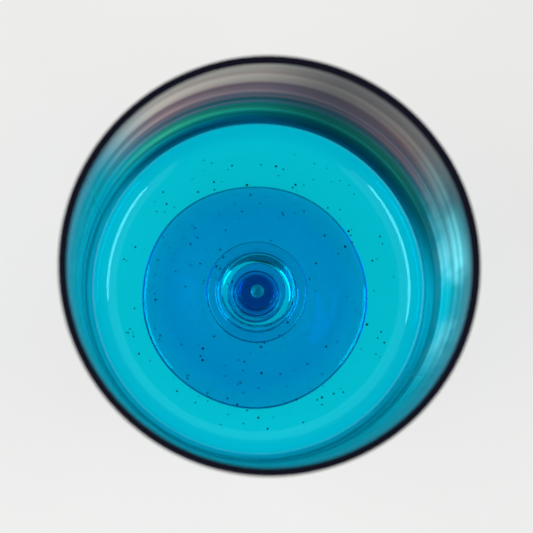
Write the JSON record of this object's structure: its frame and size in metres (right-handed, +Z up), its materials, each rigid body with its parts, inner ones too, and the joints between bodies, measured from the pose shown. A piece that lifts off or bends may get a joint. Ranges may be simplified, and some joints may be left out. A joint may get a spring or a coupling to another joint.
{
  "type": "footed glass goblet",
  "caption": "Iridescent blue glass goblet: a wide straight-sided bowl with a flat floor, on a merese, a short solid stem and a round foot.",
  "frame": {"origin": "centre of the resting plane under the foot", "axes": "+Z up along the axis of revolution, from the table to the lip; X and Y are level and any turn about Z is the same"},
  "size_m": [0.084, 0.084, 0.083],
  "materials": {
    "turquoise_glass": "clear transparent turquoise glass, fire-polished, with a thin iridescent film that is strongest towards a dark lip",
    "pale_glass": "clear transparent glass with a faint aqua tint, and a bubble with a matt, milky skin inside it",
    "deep_blue_glass": "clear transparent deep blue glass",
    "blue_glass": "clear transparent blue glass, fire-polished, with a ground pontil mark under the foot"
  },
  "bodies": {
    "root": {"bowl": "turquoise_glass", "merese": "pale_glass", "stem": "deep_blue_glass", "foot": "blue_glass"}
  },
  "joints": []
}
